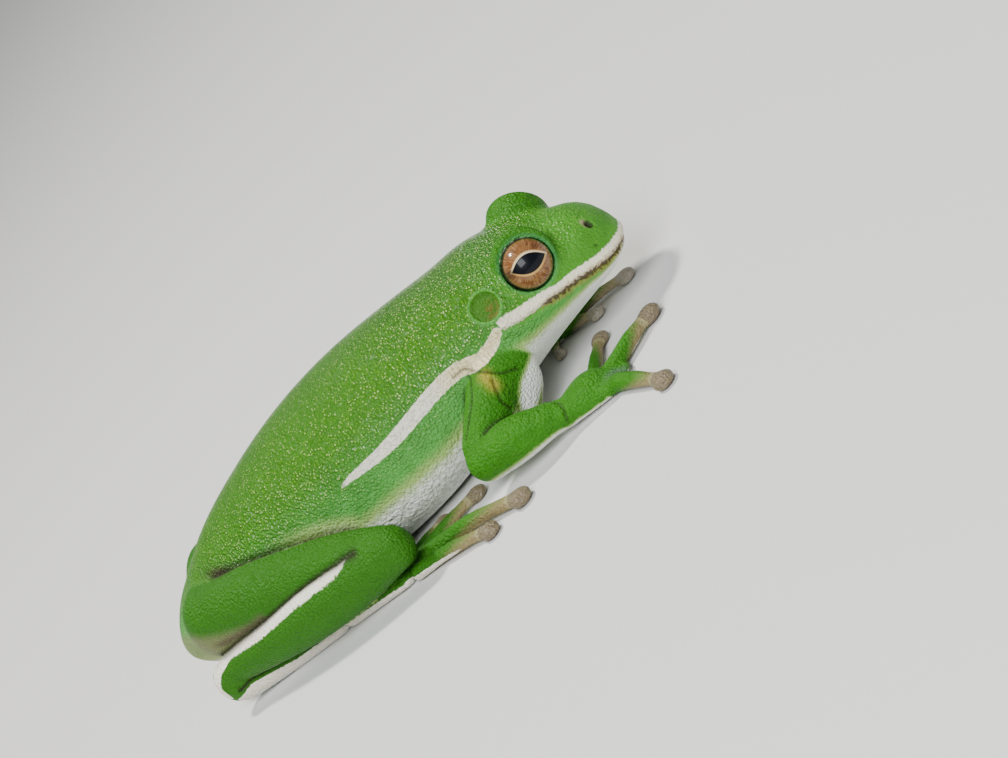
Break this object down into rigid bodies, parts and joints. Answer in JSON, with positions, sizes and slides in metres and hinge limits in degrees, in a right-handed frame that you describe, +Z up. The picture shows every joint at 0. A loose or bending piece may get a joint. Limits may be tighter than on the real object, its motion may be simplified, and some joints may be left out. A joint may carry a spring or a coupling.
{
  "type": "green tree frog",
  "caption": "Life-size still model of a green tree frog resting on its belly with folded limbs, toe discs, raised eyes, ear drums and a long smooth body.",
  "frame": {"origin": "on the floor at the middle of the belly's flat, on the frog's midline", "axes": "+X towards the snout, +Y towards the frog's left side, +Z up; the floor is at Z = 0"},
  "size_m": [0.0563, 0.0424, 0.0157],
  "materials": {
    "skin_green": "satin, fine granules",
    "skin_pale": "satin",
    "digit_skin": "satin, slightly translucent",
    "ear_skin": "satin",
    "eye": "wet gloss"
  },
  "bodies": {
    "root": {"torso": "skin_green", "head": "skin_green", "lower_jaw": "skin_pale", "eye_left": "eye", "eye_right": "eye", "tympanum_left": "ear_skin", "tympanum_right": "ear_skin", "upper_arm_left": "skin_green", "upper_arm_right": "skin_green", "forearm_left": "skin_green", "forearm_right": "skin_green", "hand_left": "skin_green", "hand_right": "skin_green", "finger_1_left": "digit_skin", "finger_2_left": "digit_skin", "finger_3_left": "digit_skin", "finger_4_left": "digit_skin", "finger_1_right": "digit_skin", "finger_2_right": "digit_skin", "finger_3_right": "digit_skin", "finger_4_right": "digit_skin", "thigh_left": "skin_green", "thigh_right": "skin_green", "shank_left": "skin_green", "shank_right": "skin_green", "tarsus_left": "skin_green", "tarsus_right": "skin_green", "foot_left": "skin_green", "foot_right": "skin_green", "toe_1_left": "digit_skin", "toe_2_left": "digit_skin", "toe_3_left": "digit_skin", "toe_4_left": "digit_skin", "toe_5_left": "digit_skin", "toe_1_right": "digit_skin", "toe_2_right": "digit_skin", "toe_3_right": "digit_skin", "toe_4_right": "digit_skin", "toe_5_right": "digit_skin"}
  },
  "joints": []
}
